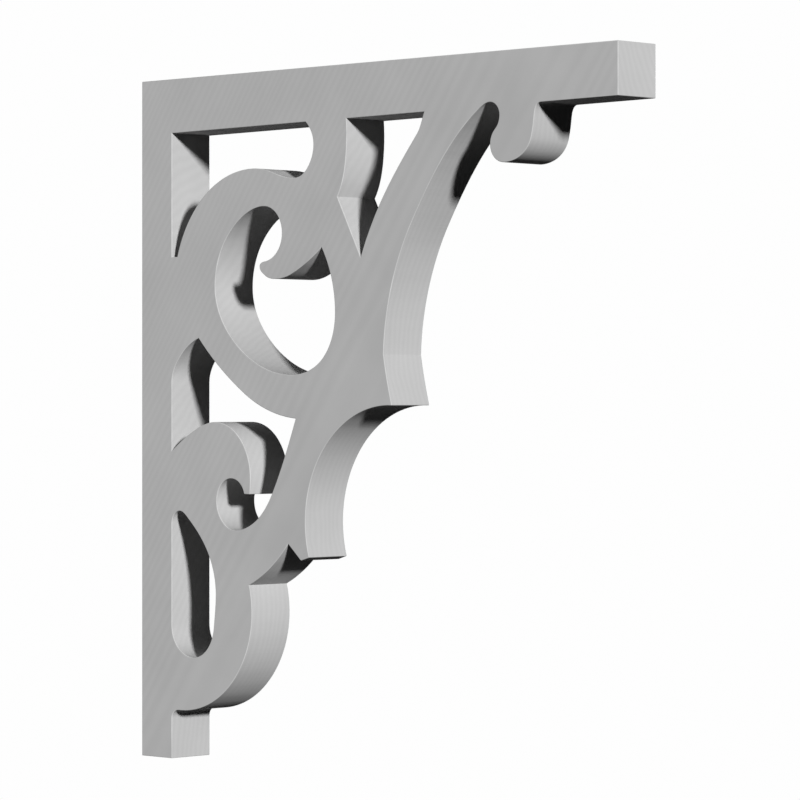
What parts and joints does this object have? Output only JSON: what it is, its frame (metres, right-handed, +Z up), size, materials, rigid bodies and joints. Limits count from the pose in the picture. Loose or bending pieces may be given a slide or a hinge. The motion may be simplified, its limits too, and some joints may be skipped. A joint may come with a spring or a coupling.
{
  "type": "decorative bracket",
  "caption": "Flat scroll-sawn corner bracket: an upright leg and a level arm joined by open scrollwork, fixed under a beam against a post.",
  "frame": {"origin": "middle of the leg's back edge, where the bracket bears on the post", "axes": "+X along the arm, away from the post; +Z up; Y through the thickness, with the show face towards -Y"},
  "size_m": [0.469, 0.038, 0.5],
  "materials": {
    "painted_timber": "matte light grey paint on sanded, scroll-sawn timber"
  },
  "bodies": {
    "root": {"bracket": "painted_timber"}
  },
  "joints": []
}
